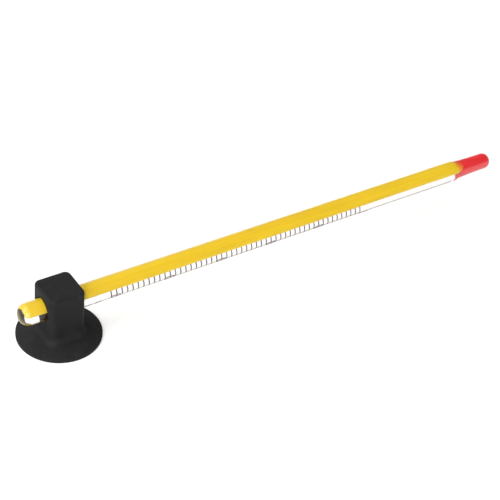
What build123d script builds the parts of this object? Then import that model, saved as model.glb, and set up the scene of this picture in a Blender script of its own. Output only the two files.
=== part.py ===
"""Glass aquarium thermometer held in a one-piece rubber suction cup.

A solid glass stem with a fine bore, a yellow enamel strip behind the bore and a scale printed on its front
is fused to a thin glass bulb. Red spirit fills the bulb and rises in the bore. The stem is gripped in the
square head of a black rubber suction cup, in which it slides and turns.

Frame, in millimetres: the origin is the centre of the suction cup on the wall that it sticks to, +Z points
away from the wall, and +X runs along the stem from its sealed top end to its bulb. The printed front of the
stem faces the wall (-Z), where it is read through the tank's glass, and the enamel is on the +Z side.
"""

import os
from math import asin, cos, degrees, radians, sin

from build123d import *

# ---------------------------------------------------------------- driving dimensions
STEM_DIAMETER = 5.8
OVERALL_LENGTH = 150.0
TOP_END_X = -11.0  # the sealed end stands this far out of the holder's centre
STEM_AXIS_Z = 9.9  # height of the stem's axis above the wall
BULB_LENGTH = 13.0

# stem
STEM_R = STEM_DIAMETER / 2
BULB_TIP_X = TOP_END_X + OVERALL_LENGTH
JOINT_X = BULB_TIP_X - BULB_LENGTH  # where the bulb is fused to the stem
TOP_ROUND_R = 2.4  # the fused top end is a little blunter than a hemisphere
SHOULDER_FILLET = 0.25
BORE_R = 0.28
CHAMBER_R = 0.6  # expansion chamber at the top of the bore
CHAMBER_LENGTH = 2.2
CHAMBER_END_X = TOP_END_X + 3.0

# enamel strip, an arc round the bore's far side
ENAMEL_R = 2.25
ENAMEL_THICKNESS = 0.3
ENAMEL_HALF_ANGLE = 72.0
ENAMEL_TOP_X = TOP_END_X + 1.6

# bulb and spirit
BULB_ROOT_R = 2.6
BULB_END_R = 2.35  # a little blunt, so that the bulb and not the stem's shoulder touches a table
BULB_WALL = 0.4
LIQUID_GAP = 0.03  # modelling clearance round the spirit, which really wets the glass
THREAD_GAP = 0.03

# printed scale
DEGREES = 50
DEGREE_PITCH = 1.56
FIFTY_X = 14.3  # place of the 50 degree line
INK_THICKNESS = 0.03
LINE_WIDTH = 0.32
LINE_OUTER_ANGLE = 58.0  # lines end here, measured round the stem from its front towards +Y
LINE_INNER_ANGLE = {1: 20.0, 5: 11.0, 10: 2.0}
NUMERAL_ANGLE = -46.0  # centre of the numerals, on the other side of the bore
DIGIT_HEIGHT = 3.0
DIGIT_WIDTH = 1.45
DIGIT_STEP_ANGLE = 37.0  # from one digit to the next round the stem
DIGIT_STROKE = 0.32
UNIT_X = 9.4
UNIT_HEIGHT = 1.6  # the unit mark is printed smaller than the numerals
UNIT_WIDTH = 1.1
UNIT_STEP_ANGLE = 30.0
UNIT_STROKE = 0.26
READING = 24.0  # temperature shown, in degrees
ZERO_X = FIFTY_X + DEGREES * DEGREE_PITCH
READING_X = ZERO_X - READING * DEGREE_PITCH

# rubber suction cup and its head
CUP_R = 10.8
CUP_TOP_Z = 3.0
RIM_THICKNESS = 0.75
RIM_SLOPE = 0.3
RIM_LAND = 0.7  # width of the flat ring that meets the wall
DISH_DEPTH = 1.7
HEAD_X = 9.7
HEAD_Y = 9.9
HEAD_TOP_Z = 15.3
HEAD_ROOT_Z = 2.0
HEAD_CORNER_R = 1.6
HEAD_TOP_FILLET = 0.7
ROOT_FILLET = 2.0
HOLDER_CLEARANCE = 0.07  # the rubber grips the glass, and this gap lets the printed lines pass
MOUTH_CHAMFER = 0.35


def annulus_sector(radius, thickness, start, end):
    """Sketch lines of a band round the origin, from start to end degrees."""
    outer = radius + thickness
    with BuildLine() as lines:
        inner_arc = CenterArc((0, 0), radius, start, end - start)
        outer_arc = CenterArc((0, 0), outer, start, end - start)
        Line(inner_arc @ 0, outer_arc @ 0)
        Line(inner_arc @ 1, outer_arc @ 1)
    return lines.line


def section_plane(x):
    """Plane across the stem at x, with its own x along the row's Y and its own y along +Z."""
    return Plane(origin=(x, 0, STEM_AXIS_Z), x_dir=(0, 1, 0), z_dir=(1, 0, 0))


def front_angle(angle):
    """Sketch angle on a section plane of a direction measured from the stem's front (-Z) towards +Y."""
    return -90.0 + angle


stem_axis = Axis((0, 0, STEM_AXIS_Z), (1, 0, 0))
profile_plane = Plane(origin=(0, 0, STEM_AXIS_Z), x_dir=(1, 0, 0), z_dir=(0, -1, 0))

# ---------------------------------------------------------------- glass stem
with BuildPart() as stem_glass:
    with BuildSketch(section_plane(TOP_END_X)):
        Circle(STEM_R)
    extrude(amount=JOINT_X - TOP_END_X)
    rims = stem_glass.edges().filter_by(GeomType.CIRCLE).sort_by(Axis.X)
    fillet(rims[0], TOP_ROUND_R)
    fillet(stem_glass.edges().filter_by(GeomType.CIRCLE).sort_by(Axis.X)[-1], SHOULDER_FILLET)
    # bore and expansion chamber
    chamber_middle = CHAMBER_END_X + CHAMBER_LENGTH / 2
    chamber_sweep = 180 - degrees(asin(BORE_R / CHAMBER_R))
    with BuildSketch(profile_plane):
        with BuildLine():
            chamber = EllipticalCenterArc(
                (chamber_middle, 0), CHAMBER_LENGTH / 2, CHAMBER_R, 180, arc_size=-chamber_sweep
            )
            Polyline(chamber @ 1, (JOINT_X, BORE_R), (JOINT_X, 0), (CHAMBER_END_X, 0))
        make_face()
    revolve(axis=stem_axis, mode=Mode.SUBTRACT)
    # channel that the enamel strip fills
    with BuildSketch(section_plane(ENAMEL_TOP_X)):
        add(annulus_sector(ENAMEL_R, ENAMEL_THICKNESS, 90 - ENAMEL_HALF_ANGLE, 90 + ENAMEL_HALF_ANGLE))
        make_face()
    extrude(amount=JOINT_X - ENAMEL_TOP_X, mode=Mode.SUBTRACT)
stem_glass.part.label = "stem_glass"

# ---------------------------------------------------------------- enamel strip
with BuildPart() as enamel_strip:
    with BuildSketch(section_plane(ENAMEL_TOP_X)):
        add(annulus_sector(ENAMEL_R, ENAMEL_THICKNESS, 90 - ENAMEL_HALF_ANGLE, 90 + ENAMEL_HALF_ANGLE))
        make_face()
    extrude(amount=JOINT_X - ENAMEL_TOP_X)
enamel_strip.part.label = "enamel_strip"


def bulb_outline(root_r, end_r, start_x, tip_x):
    """Closed half outline of a body that tapers from start_x and ends in a round tip at tip_x."""
    with BuildLine() as lines:
        side = Line((start_x, root_r), (tip_x - end_r, end_r))
        RadiusArc(side @ 1, (tip_x, 0), end_r)
        Polyline((tip_x, 0), (start_x, 0), (start_x, root_r))
    return lines.line


# ---------------------------------------------------------------- glass bulb
with BuildPart() as bulb_glass:
    with BuildSketch(profile_plane):
        add(bulb_outline(BULB_ROOT_R, BULB_END_R, JOINT_X, BULB_TIP_X))
        make_face()
    revolve(axis=stem_axis)
    with BuildSketch(profile_plane):
        add(bulb_outline(BULB_ROOT_R - BULB_WALL, BULB_END_R - BULB_WALL, JOINT_X, BULB_TIP_X - BULB_WALL))
        make_face()
    revolve(axis=stem_axis, mode=Mode.SUBTRACT)
bulb_glass.part.label = "bulb_glass"

# ---------------------------------------------------------------- red spirit
inset = BULB_WALL + LIQUID_GAP
thread_end_x = JOINT_X - LIQUID_GAP
with BuildPart() as spirit_reservoir:
    with BuildSketch(profile_plane):
        add(bulb_outline(BULB_ROOT_R - inset, BULB_END_R - inset, JOINT_X + LIQUID_GAP, BULB_TIP_X - inset))
        make_face()
    revolve(axis=stem_axis)
spirit_reservoir.part.label = "spirit_reservoir"

with BuildPart() as spirit_thread:
    with BuildSketch(section_plane(READING_X)):
        Circle(BORE_R - THREAD_GAP)
    extrude(amount=thread_end_x - READING_X)
spirit_thread.part.label = "spirit_thread"


# ---------------------------------------------------------------- printed scale
def printed_lines(step_values, inner_angle):
    """Thin bands of ink round the glass, one solid for each temperature in step_values."""
    with BuildPart() as group:
        for value in step_values:
            x = ZERO_X - value * DEGREE_PITCH - LINE_WIDTH / 2
            with BuildSketch(section_plane(x)):
                start, end = front_angle(inner_angle), front_angle(LINE_OUTER_ANGLE)
                add(annulus_sector(STEM_R, INK_THICKNESS, start, end))
                make_face()
            extrude(amount=LINE_WIDTH)
    return group.part


tens = range(0, DEGREES + 1, 10)
fives = [value for value in range(0, DEGREES + 1, 5) if value % 10]
ones = [value for value in range(DEGREES + 1) if value % 5]
degree_lines = printed_lines(ones, LINE_INNER_ANGLE[1])
five_degree_lines = printed_lines(fives, LINE_INNER_ANGLE[5])
ten_degree_lines = printed_lines(tens, LINE_INNER_ANGLE[10])
degree_lines.label = "degree_lines"
five_degree_lines.label = "five_degree_lines"
ten_degree_lines.label = "ten_degree_lines"


def glyph(character, width, height):
    """Centre lines of one character that spans width and height round the origin."""
    w = width / 2
    h = height / 2
    with BuildLine() as lines:
        if character == "0":
            Line((-w, -(h - w)), (-w, h - w))
            ThreePointArc((-w, h - w), (0, h), (w, h - w))
            Line((w, h - w), (w, -(h - w)))
            ThreePointArc((w, -(h - w)), (0, -h), (-w, -(h - w)))
        elif character == "1":
            Polyline((-w * 0.7, h * 0.55), (0.1, h), (0.1, -h))
        elif character == "2":
            ThreePointArc((-w, h - w), (0, h), (w, h - w))
            Polyline((w, h - w), (w * 0.8, h * 0.15), (-w, -h), (w, -h))
        elif character == "3":
            Spline((-w, h * 0.72), (0, h), (w * 0.9, h * 0.5), (-w * 0.2, h * 0.06))
            Spline((-w * 0.2, -h * 0.06), (w, -h * 0.5), (0, -h), (-w, -h * 0.72))
        elif character == "4":
            Line((w * 0.45, -h), (w * 0.45, h))
            Polyline((w * 0.4, h * 0.95), (-w, -h * 0.35), (w, -h * 0.35))
        elif character == "5":
            Polyline((w * 0.85, h), (-w * 0.85, h), (-w * 0.85, h * 0.12))
            ThreePointArc((-w * 0.85, h * 0.12), (w, -h * 0.42), (-w, -h * 0.8))
        elif character == "C":
            ThreePointArc((w, h - w), (0, h), (-w, h - w))
            Line((-w, h - w), (-w, -(h - w)))
            ThreePointArc((-w, -(h - w)), (0, -h), (w, -(h - w)))
        elif character == "deg":
            CenterArc((0, h - w * 0.6), w * 0.6, 0, 360)
    return lines.line


def printed_text(entries, width, height, step_angle, stroke):
    """Ink on the glass for (x, [characters]) entries, upright when the stem hangs with its bulb down."""
    with BuildPart() as group:
        for x, characters in entries:
            for place, character in enumerate(characters):
                turn = radians(NUMERAL_ANGLE + step_angle * ((len(characters) - 1) / 2 - place))
                outward = Vector(0, sin(turn), -cos(turn))
                across = Vector(0, -cos(turn), -sin(turn))
                with BuildSketch(Plane(origin=(x, 0, STEM_AXIS_Z), x_dir=across, z_dir=outward)):
                    add(glyph(character, width - stroke, height - stroke))
                    trace(line_width=stroke)
                extrude(amount=STEM_DIAMETER)
        with BuildSketch(section_plane(TOP_END_X)):
            Circle(STEM_R + INK_THICKNESS)
            Circle(STEM_R, mode=Mode.SUBTRACT)
        extrude(amount=OVERALL_LENGTH, mode=Mode.INTERSECT)
    return group.part


numeral_entries = [(ZERO_X - value * DEGREE_PITCH, list(str(value))) for value in tens]
scale_numerals = printed_text(numeral_entries, DIGIT_WIDTH, DIGIT_HEIGHT, DIGIT_STEP_ANGLE, DIGIT_STROKE)
scale_numerals.label = "scale_numerals"
unit_mark = printed_text([(UNIT_X, ["deg", "C"])], UNIT_WIDTH, UNIT_HEIGHT, UNIT_STEP_ANGLE, UNIT_STROKE)
unit_mark.label = "unit_mark"

# ---------------------------------------------------------------- rubber suction cup with its square head
with BuildPart() as suction_cup:
    # cup, with its dish underneath
    with BuildSketch(Plane.XZ):
        with BuildLine():
            Line((0, DISH_DEPTH), (0, CUP_TOP_Z))
            Spline((0, CUP_TOP_Z), (CUP_R, RIM_THICKNESS), tangents=((1, 0), (1, -RIM_SLOPE)))
            Polyline((CUP_R, RIM_THICKNESS), (CUP_R, 0), (CUP_R - RIM_LAND, 0))
            Spline((CUP_R - RIM_LAND, 0), (0, DISH_DEPTH), tangents=((-1, RIM_SLOPE), (-1, 0)))
        make_face()
    revolve(axis=Axis.Z)
    # square head, flaring out where it meets the cup
    with BuildSketch(Plane.XY.offset(HEAD_ROOT_Z)):
        RectangleRounded(HEAD_X, HEAD_Y, HEAD_CORNER_R)
    extrude(amount=HEAD_TOP_Z - HEAD_ROOT_Z)
    new_edges = suction_cup.edges(Select.LAST)
    fillet(new_edges.filter_by_position(Axis.Z, HEAD_ROOT_Z, CUP_TOP_Z, (False, False)), ROOT_FILLET)
    fillet(suction_cup.faces().sort_by(Axis.Z)[-1].edges(), HEAD_TOP_FILLET)
    # hole that grips the stem, with eased mouths
    with BuildSketch(section_plane(-CUP_R)):
        Circle(STEM_R + HOLDER_CLEARANCE)
    extrude(amount=2 * CUP_R, mode=Mode.SUBTRACT)
    chamfer(suction_cup.edges(Select.LAST).filter_by(GeomType.CIRCLE), MOUTH_CHAMFER)
suction_cup.part.label = "suction_cup"

# ---------------------------------------------------------------- export
os.makedirs("parts", exist_ok=True)
export_step(suction_cup.part, "parts/suction_cup.step")
export_step(stem_glass.part, "parts/stem_glass.step")
export_step(enamel_strip.part, "parts/enamel_strip.step")
export_step(bulb_glass.part, "parts/bulb_glass.step")
export_step(spirit_reservoir.part, "parts/spirit_reservoir.step")
export_step(spirit_thread.part, "parts/spirit_thread.step")
export_step(degree_lines, "parts/degree_lines.step")
export_step(five_degree_lines, "parts/five_degree_lines.step")
export_step(ten_degree_lines, "parts/ten_degree_lines.step")
export_step(scale_numerals, "parts/scale_numerals.step")
export_step(unit_mark, "parts/unit_mark.step")
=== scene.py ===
"""Looks of the glass thermometer: clear stem, enamel back, printed scale, red spirit and rubber cup."""

import math

import bmesh
import bpy
from mathutils import Matrix, Vector


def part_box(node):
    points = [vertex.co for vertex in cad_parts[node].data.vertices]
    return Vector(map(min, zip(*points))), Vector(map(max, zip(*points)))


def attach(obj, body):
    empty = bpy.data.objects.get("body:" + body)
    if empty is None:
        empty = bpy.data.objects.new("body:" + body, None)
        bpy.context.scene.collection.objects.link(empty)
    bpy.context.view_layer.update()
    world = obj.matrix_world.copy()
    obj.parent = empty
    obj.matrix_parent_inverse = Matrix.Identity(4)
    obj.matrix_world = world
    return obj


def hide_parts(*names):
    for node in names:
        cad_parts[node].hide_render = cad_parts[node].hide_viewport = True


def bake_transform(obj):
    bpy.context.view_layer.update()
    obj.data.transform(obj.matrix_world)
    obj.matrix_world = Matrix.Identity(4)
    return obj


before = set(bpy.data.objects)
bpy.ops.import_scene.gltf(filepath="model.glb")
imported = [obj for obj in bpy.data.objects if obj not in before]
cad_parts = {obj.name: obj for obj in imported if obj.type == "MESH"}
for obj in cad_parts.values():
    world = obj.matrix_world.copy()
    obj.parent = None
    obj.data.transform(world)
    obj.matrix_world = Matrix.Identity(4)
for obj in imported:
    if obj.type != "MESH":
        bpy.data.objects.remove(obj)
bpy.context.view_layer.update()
MM = 0.001

# ---------------------------------------------------------------- sizes read from the frame
stem_low, stem_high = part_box("stem_glass")
bulb_low, bulb_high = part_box("bulb_glass")
enamel_low, enamel_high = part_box("enamel_strip")
MENISCUS_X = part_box("spirit_thread")[0][0]
SEAT_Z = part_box("suction_cup")[0][2]

AXIS_Y = (stem_low[1] + stem_high[1]) / 2
AXIS_Z = (stem_low[2] + stem_high[2]) / 2
STEM_R = (stem_high[2] - stem_low[2]) / 2
TOP_X = stem_low[0]
JOINT_X = stem_high[0]
BULB_TIP_X = bulb_high[0]
BULB_ROOT_R = (bulb_high[2] - bulb_low[2]) / 2
BULB_END_R = BULB_ROOT_R - 0.3 * MM
BULB_TIP_LENGTH = 2.1 * MM  # the drawn tip is a little blunter than a hemisphere

# ---------------------------------------------------------------- sizes inside the glass
SEGMENTS = 128  # around each turned piece
TOP_ROUND_R = 2.4 * MM
SHOULDER_R = 0.55 * MM  # the fused shoulder is a soft step
SHOULDER_END = 25  # degrees: the shoulder's round stops here, and the bulb's wall begins
SHOULDER_GAP = 0.15 * MM  # along the stem, between the two
BORE_R = 0.28 * MM
CHAMBER_R = 0.6 * MM
CHAMBER_X = TOP_X + 4.1 * MM
CHAMBER_HALF = 1.1 * MM
ENAMEL_OUTER_R = enamel_high[2] - AXIS_Z
ENAMEL_INNER_R = ENAMEL_OUTER_R - 0.3 * MM
ENAMEL_HALF_ANGLE = math.acos((enamel_low[2] - AXIS_Z) / ENAMEL_INNER_R)
ENAMEL_GLASS = 0.32 * MM  # glass left over the enamel where it follows the rounded end
ENAMEL_START_X = TOP_X + 0.95 * MM
ENAMEL_START_LENGTH = 1.8 * MM  # the closely spaced sections at the rounded end
ENAMEL_START_ROUND = 0.9 * MM  # the length in which it grows to its full width
ENAMEL_RUN_OUT = 2.4 * MM  # the enamel narrows over this much of the bulb
ENAMEL_THIN = 0.2 * MM  # its thickness there
BULB_WALL = 0.4 * MM
BORE_OVERLAP = 0.3 * MM  # the empty bore reaches this far into the thread
THREAD_MARGIN = 0.012 * MM  # the thread fills the bore with no air around it
INK_DEPTH = 0.03 * MM  # how far the ink is sunk in the glass
INK_PROUD = 0.03 * MM


# ---------------------------------------------------------------- mesh helpers
def new_object(name, mesh):
    obj = bpy.data.objects.new(name, mesh)
    bpy.context.scene.collection.objects.link(obj)
    return obj


def smooth(obj):
    for polygon in obj.data.polygons:
        polygon.use_smooth = True


def arc(center, radius, start, end, steps):
    """Points of an arc in (x, r), angles in degrees."""
    points = []
    for i in range(steps + 1):
        angle = math.radians(start + (end - start) * i / steps)
        points.append((center[0] + radius[0] * math.cos(angle), center[1] + radius[1] * math.sin(angle)))
    return points


def add_revolved(bm, profile, inward=False):
    """Adds a closed surface of revolution about the stem's axis; profile runs from pole to pole in (x, r)."""
    rings = []
    for x, r in profile:
        if r < 1e-9:
            rings.append([bm.verts.new((x, AXIS_Y, AXIS_Z))])
            continue
        ring = []
        for k in range(SEGMENTS):
            angle = 2 * math.pi * k / SEGMENTS
            ring.append(bm.verts.new((x, AXIS_Y + r * math.cos(angle), AXIS_Z + r * math.sin(angle))))
        rings.append(ring)
    for low, high in zip(rings, rings[1:]):
        for k in range(SEGMENTS):
            n = (k + 1) % SEGMENTS
            if len(low) == 1 and len(high) == 1:
                continue
            if len(low) == 1:
                face = [low[0], high[n], high[k]]
            elif len(high) == 1:
                face = [low[k], low[n], high[0]]
            else:
                face = [low[k], low[n], high[n], high[k]]
            bm.faces.new(face[::-1] if inward else face)


def revolved(name, profile, cavity=None):
    bm = bmesh.new()
    add_revolved(bm, profile)
    if cavity:
        add_revolved(bm, cavity, inward=True)
    mesh = bpy.data.meshes.new(name)
    bm.to_mesh(mesh)
    bm.free()
    obj = new_object(name, mesh)
    smooth(obj)
    return obj


# ---------------------------------------------------------------- node helpers
def material(name):
    mat = bpy.data.materials.new(name)
    mat.use_nodes = True
    tree = mat.node_tree
    return mat, tree, tree.nodes["Principled BSDF"]


def node(tree, kind, inputs=None, **settings):
    made = tree.nodes.new(kind)
    for key, value in settings.items():
        setattr(made, key, value)
    for key, value in (inputs or {}).items():
        if isinstance(value, bpy.types.NodeSocket):
            tree.links.new(value, made.inputs[key])
        else:
            made.inputs[key].default_value = value
    return made


def position(tree):
    return tree.nodes.new("ShaderNodeTexCoord").outputs["Object"]


NOISE_ROUGHNESS = 0.55


def noise(tree, scale, detail=3.0, stretch=None):
    vector = position(tree)
    if stretch:
        vector = node(tree, "ShaderNodeMapping", {"Vector": vector, "Scale": stretch}).outputs["Vector"]
    inputs = {"Vector": vector, "Scale": scale, "Detail": detail, "Roughness": NOISE_ROUGHNESS}
    return node(tree, "ShaderNodeTexNoise", inputs).outputs["Fac"]


def ramp(tree, factor, stops):
    made = node(tree, "ShaderNodeValToRGB", {"Fac": factor})
    elements = made.color_ramp.elements
    while len(elements) < len(stops):
        elements.new(0.5)
    for element, (place, color) in zip(elements, stops):
        element.position = place
        element.color = (*color, 1.0)
    return made.outputs["Color"]


def grey(value):
    return (value, value, value)


def mix(tree, factor, a, b):
    """Colour a to colour b as the factor goes from 0 to 1."""
    made = tree.nodes.new("ShaderNodeMix")
    made.data_type = "RGBA"
    for socket, value in ((made.inputs["Factor"], factor), (made.inputs[6], a), (made.inputs[7], b)):
        if isinstance(value, bpy.types.NodeSocket):
            tree.links.new(value, socket)
        elif isinstance(value, tuple):
            socket.default_value = (*value, 1.0)
        else:
            socket.default_value = value
    return made.outputs[2]


def bump(tree, height, distance, strength, onto):
    made = node(tree, "ShaderNodeBump", {"Height": height, "Distance": distance, "Strength": strength})
    tree.links.new(made.outputs["Normal"], onto.inputs["Normal"])


def multiply(tree, a, b):
    return node(tree, "ShaderNodeMath", {0: a, 1: b}, operation="MULTIPLY").outputs["Value"]


def map_range(tree, value, start, end):
    """0 to 1 as the value goes from start to end."""
    inputs = {"Value": value, "From Min": start, "From Max": end}
    return node(tree, "ShaderNodeMapRange", inputs).outputs["Result"]


def set_roughness(tree, shader, factor, stops):
    greys = [(place, grey(value)) for place, value in stops]
    tree.links.new(ramp(tree, factor, greys), shader.inputs["Roughness"])


def along(tree, start, end, lean):
    """0 to 1 along the stem from x = start to x = end; lean brings it forward on the +Y side."""
    place = node(tree, "ShaderNodeSeparateXYZ", {"Vector": position(tree)}).outputs
    x = node(tree, "ShaderNodeMath", {0: place["Y"], 1: lean, 2: place["X"]}, operation="MULTIPLY_ADD")
    return map_range(tree, x.outputs["Value"], start, end)


# ---------------------------------------------------------------- materials
def glass_material():
    mat, tree, shader = material("clear_glass")
    shader.inputs["Transmission Weight"].default_value = 1.0
    shader.inputs["IOR"].default_value = 1.48
    smear = noise(tree, 900.0, 4.0, (0.25, 1.0, 1.0))
    set_roughness(tree, shader, smear, [(0.35, 0.004), (0.75, 0.03)])
    tint = noise(tree, 160.0, 2.0, (0.2, 1.0, 1.0))
    clear = ramp(tree, tint, [(0.3, (0.845, 0.84, 0.845)), (0.7, (0.88, 0.87, 0.885))])
    tree.links.new(clear, shader.inputs["Base Color"])
    ripple = noise(tree, 260.0, 1.0, (0.06, 1.0, 1.0))
    bump(tree, ripple, 0.02 * MM, 0.15, shader)
    return mat


def enamel_material():
    mat, tree, shader = material("yellow_enamel")
    streak = noise(tree, 700.0, 4.0, (0.03, 1.0, 1.0))
    yellows = [(0.3, (0.92, 0.62, 0.003)), (0.55, (0.96, 0.68, 0.004)), (0.8, (0.98, 0.73, 0.008))]
    yellow = ramp(tree, streak, yellows)
    mottle = noise(tree, 2600.0, 3.0)
    yellow = mix(tree, ramp(tree, mottle, [(0.45, grey(0.0)), (0.9, grey(0.16))]), yellow, (0.80, 0.46, 0.01))
    # the enamel runs out into the red of the bulb
    blush = along(tree, JOINT_X - 0.8 * MM, JOINT_X + ENAMEL_RUN_OUT, lean=0.45)
    blush = ramp(tree, blush, [(0.0, grey(0.0)), (0.3, grey(0.42)), (0.55, grey(0.80)), (0.8, grey(1.0))])
    color = mix(tree, blush, yellow, (0.90, 0.06, 0.03))
    tree.links.new(color, shader.inputs["Base Color"])
    set_roughness(tree, shader, mottle, [(0.3, 0.38), (0.8, 0.55)])
    bump(tree, mottle, 0.01 * MM, 0.3, shader)
    return mat


def spirit_material():
    mat, tree, shader = material("red_spirit")
    cloud = noise(tree, 420.0, 3.0, (0.3, 1.0, 1.0))
    red = ramp(tree, cloud, [(0.3, (0.90, 0.022, 0.030)), (0.7, (0.97, 0.040, 0.050))])
    tree.links.new(red, shader.inputs["Base Color"])
    set_roughness(tree, shader, cloud, [(0.3, 0.10), (0.8, 0.2)])
    shader.inputs["Subsurface Weight"].default_value = 0.25
    shader.inputs["Subsurface Radius"].default_value = (1.2 * MM, 0.3 * MM, 0.3 * MM)
    shader.inputs["Subsurface Scale"].default_value = 1.0
    return mat


def ink_material():
    mat, tree, shader = material("scale_ink")
    worn = noise(tree, 5200.0, 3.0)
    dark = ramp(tree, worn, [(0.35, (0.070, 0.050, 0.070)), (0.7, (0.16, 0.125, 0.16))])
    tree.links.new(dark, shader.inputs["Base Color"])
    set_roughness(tree, shader, worn, [(0.3, 0.45), (0.7, 0.65)])
    return mat


def rubber_material():
    mat, tree, shader = material("black_rubber")
    grain = noise(tree, 9000.0, 4.0)
    cloud = noise(tree, 330.0, 4.0)
    blacks = [(0.0066, 0.0066, 0.0072), (0.0088, 0.0088, 0.0093), (0.0130, 0.0127, 0.0125)]
    base = ramp(tree, cloud, list(zip((0.3, 0.55, 0.8), blacks)))
    # dust in the grain of the upper faces, and painted light from above: the faces that look up are made
    # lighter, in patches
    normal = tree.nodes.new("ShaderNodeTexCoord").outputs["Normal"]
    up = node(tree, "ShaderNodeSeparateXYZ", {"Vector": normal}).outputs["Z"]
    facing_up = map_range(tree, up, 0.2, 1.0)
    dust_and_top_light_mask = ramp(tree, noise(tree, 2400.0, 5.0), [(0.5, grey(0.0)), (0.8, grey(0.18))])
    color = mix(tree, multiply(tree, facing_up, dust_and_top_light_mask), base, (0.055, 0.054, 0.052))
    tree.links.new(color, shader.inputs["Base Color"])
    set_roughness(tree, shader, cloud, [(0.3, 0.58), (0.8, 0.74)])
    shader.inputs["Specular IOR Level"].default_value = 0.12
    height = mix(tree, 0.35, grain, noise(tree, 1800.0, 3.0))
    bump(tree, height, 0.03 * MM, 0.3, shader)
    return mat


GLASS = glass_material()
ENAMEL = enamel_material()
SPIRIT = spirit_material()
INK = ink_material()
RUBBER = rubber_material()


def dress(obj, mat):
    obj.data.materials.clear()
    obj.data.materials.append(mat)


def bulb_wall(root_r, end_r, start_x, tip_x, tip_length):
    """Outline of the bulb from its root to its tip: it narrows quickly at first, and ends in a blunt dome."""
    shoulder_x = tip_x - tip_length
    outline = []
    for i in range(17):
        t = i / 16
        outline.append((start_x + (shoulder_x - start_x) * t, end_r + (root_r - end_r) * (1 - t) ** 2.2))
    outline += arc((shoulder_x, 0.0), (tip_length, end_r), 90, 0, 24)[1:]
    outline[-1] = (tip_x, 0.0)
    return outline


# ---------------------------------------------------------------- glass stem
stem_outline = [(TOP_X, 0.0)]
stem_outline += arc((TOP_X + TOP_ROUND_R, STEM_R - TOP_ROUND_R), (TOP_ROUND_R, TOP_ROUND_R), 180, 90, 20)
shoulder_center = (JOINT_X - SHOULDER_R, STEM_R - SHOULDER_R)
stem_outline += arc(shoulder_center, (SHOULDER_R, SHOULDER_R), 90, SHOULDER_END, 8)
stem_outline += bulb_wall(BULB_ROOT_R, BULB_END_R, JOINT_X + SHOULDER_GAP, BULB_TIP_X, BULB_TIP_LENGTH)
bore_start = math.degrees(math.asin(BORE_R / CHAMBER_R))
cavity = arc((CHAMBER_X, 0.0), (CHAMBER_HALF, CHAMBER_R), 180, bore_start, 16)
cavity[0] = (CHAMBER_X - CHAMBER_HALF, 0.0)
cavity += [(MENISCUS_X + BORE_OVERLAP, BORE_R), (MENISCUS_X + BORE_OVERLAP, 0.0)]
stem = revolved("glass_stem_and_bulb", stem_outline, cavity)
dress(stem, GLASS)
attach(stem, "glass")
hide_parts("stem_glass", "bulb_glass")


# ---------------------------------------------------------------- enamel strip
def enamel_section(x):
    """Outer radius and half angle of the enamel at x, from the rounded end to its last edge on the bulb."""
    outer, half_angle = ENAMEL_OUTER_R, ENAMEL_HALF_ANGLE
    from_end = x - TOP_X
    if from_end < TOP_ROUND_R:
        dome = STEM_R - TOP_ROUND_R + math.sqrt(TOP_ROUND_R**2 - (TOP_ROUND_R - from_end) ** 2)
        outer = min(outer, dome - ENAMEL_GLASS)
        start = min(1.0, (x - ENAMEL_START_X) / ENAMEL_START_ROUND)
        half_angle *= 0.72 + 0.28 * math.sqrt(1 - (1 - start) ** 2)
    if x > JOINT_X:
        past = (x - JOINT_X) / ENAMEL_RUN_OUT
        outer = min(outer, BULB_ROOT_R - ENAMEL_THIN * (1 + past))
        half_angle *= 1 - 0.45 * past**2
    return outer, half_angle


def enamel_mesh():
    """A band of enamel inside the glass, on the side away from the wall."""
    bm = bmesh.new()
    steps = 48
    stations = [ENAMEL_START_X + ENAMEL_START_LENGTH * (i / 18) ** 1.5 for i in range(19)]
    stations += [stations[-1] + (JOINT_X - stations[-1]) * i / 60 for i in range(1, 61)]
    stations += [JOINT_X + ENAMEL_RUN_OUT * i / 12 for i in range(1, 13)]
    rows = []
    for x in stations:
        outer, half_angle = enamel_section(x)
        thickness = ENAMEL_OUTER_R - ENAMEL_INNER_R if x <= JOINT_X else ENAMEL_THIN
        row = []
        for radius in (outer, outer - thickness):
            for k in range(steps + 1):
                angle = math.pi / 2 - half_angle + 2 * half_angle * k / steps
                y, z = AXIS_Y + radius * math.cos(angle), AXIS_Z + radius * math.sin(angle)
                row.append(bm.verts.new((x, y, z)))
        rows.append(row)
    n = steps + 1
    loop = list(range(n)) + [n + k for k in reversed(range(n))]
    for low, high in zip(rows, rows[1:]):
        for a, b in zip(loop, loop[1:] + loop[:1]):
            bm.faces.new((low[a], high[a], high[b], low[b]))
    for row, flip in ((rows[0], False), (rows[-1], True)):
        for k in range(steps):
            face = [row[k], row[k + 1], row[n + k + 1], row[n + k]]
            bm.faces.new(face[::-1] if flip else face)
    bmesh.ops.recalc_face_normals(bm, faces=bm.faces)
    mesh = bpy.data.meshes.new("enamel_back")
    bm.to_mesh(mesh)
    bm.free()
    return mesh


enamel = new_object("enamel_back", enamel_mesh())
smooth(enamel)
enamel.data.set_sharp_from_angle(angle=math.radians(40))
dress(enamel, ENAMEL)
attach(enamel, "glass")
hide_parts("enamel_strip")

# ---------------------------------------------------------------- spirit
root_r = BULB_ROOT_R - BULB_WALL
end_r = BULB_END_R - BULB_WALL
tip = BULB_TIP_X - BULB_WALL
neck_x = JOINT_X + 1.0 * MM  # where the round behind the bore meets the wall
neck_r = 1.3 * MM
reservoir_outline = [(JOINT_X - 0.5 * MM, 0.0), (JOINT_X - 0.4 * MM, BORE_R)]
reservoir_outline += arc((neck_x, root_r - neck_r), (neck_r, neck_r), 165, 95, 10)
reservoir_outline += bulb_wall(root_r, end_r, neck_x, tip, BULB_TIP_LENGTH - BULB_WALL)
reservoir = revolved("spirit_in_bulb", reservoir_outline)
dress(reservoir, SPIRIT)
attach(reservoir, "spirit")
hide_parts("spirit_reservoir")

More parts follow.
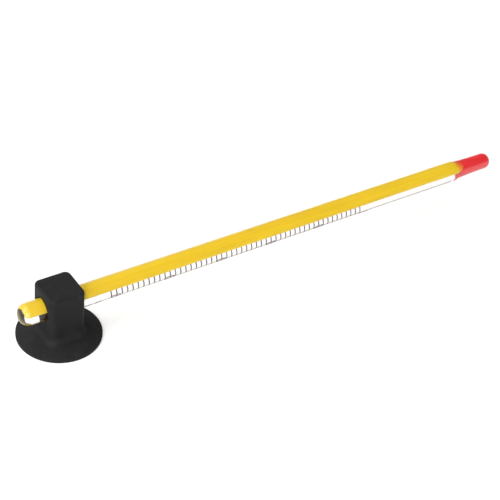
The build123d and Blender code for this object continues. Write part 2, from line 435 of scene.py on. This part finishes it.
# the thread has many rings, so that it can stretch between the bulb and its meniscus
thread_r = BORE_R + THREAD_MARGIN
thread_steps = 80
thread_outline = [(MENISCUS_X + 0.12 * MM, 0.0), (MENISCUS_X + 0.05 * MM, 0.6 * thread_r)]
thread_outline += [(MENISCUS_X, thread_r)]
for i in range(1, thread_steps + 1):
    thread_outline.append((MENISCUS_X + (JOINT_X - MENISCUS_X) * i / thread_steps, thread_r))
thread_outline += [(JOINT_X, 0.0)]
thread = revolved("spirit_column", thread_outline)
dress(thread, SPIRIT)
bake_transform(thread)
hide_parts("spirit_thread")


# ---------------------------------------------------------------- printed scale
def printed(node_name, piece_name):
    """A copy of the printed node, sunk a little into the glass so that no air is left behind the ink."""
    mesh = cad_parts[node_name].data.copy()
    mesh.name = piece_name
    surface = STEM_R + 0.015 * MM  # between the ink's inner and outer face
    for vertex in mesh.vertices:
        y, z = vertex.co.y - AXIS_Y, vertex.co.z - AXIS_Z
        radius = math.hypot(y, z)
        wanted = STEM_R + INK_PROUD if radius > surface else STEM_R - INK_DEPTH
        vertex.co.y = AXIS_Y + y * wanted / radius
        vertex.co.z = AXIS_Z + z * wanted / radius
    piece = new_object(piece_name, mesh)
    piece.matrix_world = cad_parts[node_name].matrix_world.copy()
    dress(piece, INK)
    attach(piece, "glass")
    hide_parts(node_name)


printed("degree_lines", "ink_degree_lines")
printed("five_degree_lines", "ink_five_degree_lines")
printed("ten_degree_lines", "ink_ten_degree_lines")
printed("scale_numerals", "ink_numerals")
printed("unit_mark", "ink_unit_mark")

# ---------------------------------------------------------------- rubber cup
dress(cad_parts["suction_cup"], RUBBER)

# ---------------------------------------------------------------- floor, light and camera
FLOOR_HALF_WIDTH = 3.0
bm = bmesh.new()
bmesh.ops.create_grid(bm, x_segments=8, y_segments=8, size=FLOOR_HALF_WIDTH)
floor_mesh = bpy.data.meshes.new("floor")
bm.to_mesh(floor_mesh)
bm.free()
floor = new_object("floor", floor_mesh)
floor.location = (0.0, 0.0, SEAT_Z - 0.02 * MM)
floor_mat, floor_tree, floor_shader = material("pale_floor")
floor_shader.inputs["Base Color"].default_value = (0.60, 0.60, 0.60, 1.0)
floor_shader.inputs["Roughness"].default_value = 0.9
floor_shader.inputs["Specular IOR Level"].default_value = 0.1
# a light table: a little light comes up through the floor and softens the shadow
floor_shader.inputs["Emission Color"].default_value = (1.0, 1.0, 1.0, 1.0)
floor_shader.inputs["Emission Strength"].default_value = 0.30
dress(floor, floor_mat)

# a white room with a dim end on the +X side, so that the glass keeps a clear colour where it mirrors that end
world = bpy.data.worlds.new("studio")
bpy.context.scene.world = world
world.use_nodes = True
world_tree = world.node_tree
background = world_tree.nodes["Background"]
direction = world_tree.nodes.new("ShaderNodeTexCoord").outputs["Generated"]
seen = node(world_tree, "ShaderNodeSeparateXYZ", {"Vector": direction}).outputs
far = map_range(world_tree, seen["X"], -0.1, 0.4)
high = map_range(world_tree, seen["Z"], 0.02, 0.25)
near = map_range(world_tree, seen["Y"], 0.93, 0.77)
dim = multiply(world_tree, multiply(world_tree, far, high), near)
room = ramp(world_tree, dim, [(0.0, grey(1.0)), (1.0, grey(0.16))])
world_tree.links.new(room, background.inputs["Color"])
background.inputs["Strength"].default_value = 1.32


def area_light(name, place, target, size, watts):
    light = bpy.data.lights.new(name, "AREA")
    light.shape = "RECTANGLE"
    light.size, light.size_y = size
    light.energy = watts
    obj = bpy.data.objects.new(name, light)
    obj.location = place
    aim = Vector(target) - Vector(place)
    obj.rotation_euler = aim.to_track_quat("-Z", "Y").to_euler()
    bpy.context.scene.collection.objects.link(obj)


middle = ((TOP_X + BULB_TIP_X) / 2, 0.0, AXIS_Z)
area_light("softbox_front", (-0.50, -0.80, 0.55), middle, (0.9, 0.8), 9.5)
area_light("softbox_left", (-0.80, 0.10, 0.60), middle, (0.8, 0.8), 5.5)
area_light("softbox_above", (-0.25, 0.25, 0.95), middle, (0.9, 0.7), 4.0)

CAMERA_PLACE = (-0.1224, -0.2325, 0.2418)
CAMERA_YAW = math.radians(37.57)  # from +Y towards +X
CAMERA_PITCH = math.radians(38.79)
CAMERA_ROLL = math.radians(6.87)
camera = bpy.data.cameras.new("camera")
camera.sensor_width = 36.0
camera.lens = 102.1
camera.clip_start = 0.01
camera_object = bpy.data.objects.new("camera", camera)
forward = Vector((
    math.sin(CAMERA_YAW) * math.cos(CAMERA_PITCH),
    math.cos(CAMERA_YAW) * math.cos(CAMERA_PITCH),
    -math.sin(CAMERA_PITCH),
))
level_right = Vector((math.cos(CAMERA_YAW), -math.sin(CAMERA_YAW), 0.0))
level_up = level_right.cross(forward)
right = level_right * math.cos(CAMERA_ROLL) + level_up * math.sin(CAMERA_ROLL)
up = level_up * math.cos(CAMERA_ROLL) - level_right * math.sin(CAMERA_ROLL)
turn = Matrix((right, up, -forward)).transposed().to_4x4()
camera_object.matrix_world = Matrix.Translation(CAMERA_PLACE) @ turn
bpy.context.scene.collection.objects.link(camera_object)
bpy.context.scene.camera = camera_object
bpy.context.scene.view_settings.view_transform = "Standard"
